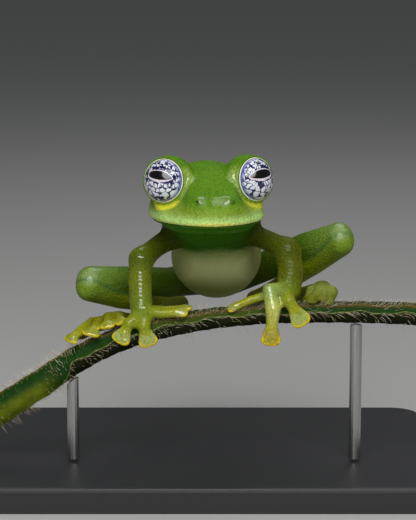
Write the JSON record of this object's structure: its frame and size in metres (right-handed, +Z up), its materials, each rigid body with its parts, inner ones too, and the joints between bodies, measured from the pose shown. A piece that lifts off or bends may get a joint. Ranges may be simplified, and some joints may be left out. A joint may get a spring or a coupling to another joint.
{
  "type": "glass frog model on a stem perch",
  "caption": "Life-size glass frog with large forward-facing eyes, crouched on a cut length of hairy stem above a flat display stand.",
  "frame": {"origin": "centre of the display base's underside, on the surface that the model stands on", "axes": "+X along the stem to the frog's left, -Y the way the frog faces, +Z up"},
  "size_m": [0.046, 0.032, 0.0337],
  "materials": {
    "head": "moist granular skin, yellow-green",
    "torso": "moist skin, green above and pale grey-white below",
    "eye_right": "wet, clear-coated, pale iris with a dark net and a black pupil",
    "eye_left": "wet, clear-coated, pale iris with a dark net and a black pupil",
    "upper_arm_right": "moist granular skin",
    "upper_arm_left": "moist granular skin",
    "forearm_right": "moist granular skin",
    "forearm_left": "moist granular skin",
    "hand_right": "moist granular skin",
    "hand_left": "moist granular skin",
    "thigh_right": "moist granular skin",
    "thigh_left": "moist granular skin",
    "shank_right": "moist granular skin",
    "shank_left": "moist granular skin",
    "foot_right": "moist granular skin",
    "foot_left": "moist granular skin",
    "perch": "matt green plant stem",
    "stand_base": "satin black",
    "stand_rod_right": "satin steel",
    "stand_rod_left": "satin steel"
  },
  "bodies": {
    "root": {"head": "head", "torso": "torso", "eye_right": "eye_right", "eye_left": "eye_left", "upper_arm_right": "upper_arm_right", "upper_arm_left": "upper_arm_left", "forearm_right": "forearm_right", "forearm_left": "forearm_left", "hand_right": "hand_right", "hand_left": "hand_left", "thigh_right": "thigh_right", "thigh_left": "thigh_left", "shank_right": "shank_right", "shank_left": "shank_left", "foot_right": "foot_right", "foot_left": "foot_left", "perch": "perch", "stand_base": "stand_base", "stand_rod_right": "stand_rod_right", "stand_rod_left": "stand_rod_left"}
  },
  "joints": []
}
